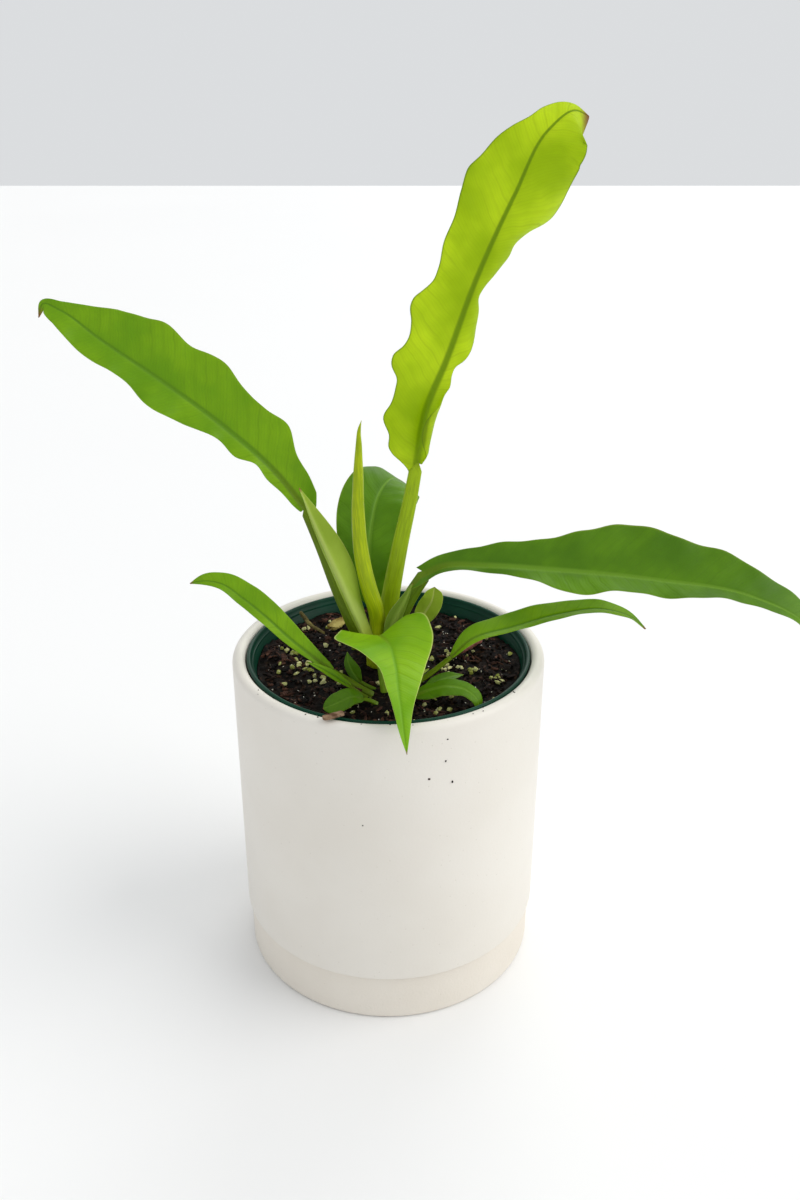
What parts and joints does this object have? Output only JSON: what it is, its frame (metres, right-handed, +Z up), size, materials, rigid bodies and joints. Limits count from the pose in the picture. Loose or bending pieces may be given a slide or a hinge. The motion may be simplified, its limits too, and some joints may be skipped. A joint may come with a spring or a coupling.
{
  "type": "potted foliage plant",
  "caption": "Young foliage plant with long wavy strap leaves in a plastic nursery pot, standing in a plain ceramic cylinder pot on its own saucer.",
  "frame": {"origin": "middle of the saucer's flat underside, on the axis of both pots", "axes": "+Z up along the pots' axis, -Y towards the front, where the drooping front leaf hangs over the rim, +X to the right"},
  "size_m": [0.283, 0.135, 0.3352],
  "materials": {
    "pot_ceramic": "warm white, satin matt",
    "saucer_ceramic": "warm beige white, matt",
    "nursery_plastic": "thin dark green moulded plastic",
    "soil": "dark moist potting mix with pale grains",
    "stem": "green plant tissue",
    "leaf_young": "young yellow green leaf, soft sheen",
    "leaf_mid": "bright green leaf, soft sheen",
    "leaf_dark": "mature green leaf, soft sheen",
    "leaf_sheath": "pale green papery sheath",
    "dry_matter": "dry brown fibre",
    "bark": "reddish brown bark"
  },
  "bodies": {
    "root": {"saucer": "saucer_ceramic", "ceramic_pot": "pot_ceramic", "nursery_pot": "nursery_plastic", "potting_soil": "soil", "main_stem": "stem", "side_shoot_stem": "stem", "leaf_tall_upright": "leaf_young", "leaf_long_left": "leaf_mid", "leaf_long_right": "leaf_dark", "leaf_rear": "leaf_dark", "leaf_front_drooping": "leaf_mid", "leaf_low_left": "leaf_dark", "leaf_low_right": "leaf_mid", "leaf_arched_right": "leaf_mid", "leaf_small_pointed": "leaf_dark", "leaf_round_left": "leaf_mid", "leaf_small_hidden": "leaf_mid", "leaf_narrow_left": "leaf_mid", "leaf_pale_rear_right": "leaf_mid", "rolled_new_leaf": "leaf_young", "sheath_tall": "leaf_sheath", "sheath_right": "leaf_sheath", "shoot_tip": "leaf_sheath", "dried_root": "dry_matter", "twig": "dry_matter", "bark_chip_large": "bark", "bark_chip_yellow": "dry_matter", "bark_chip_on_rim": "bark"}
  },
  "joints": []
}
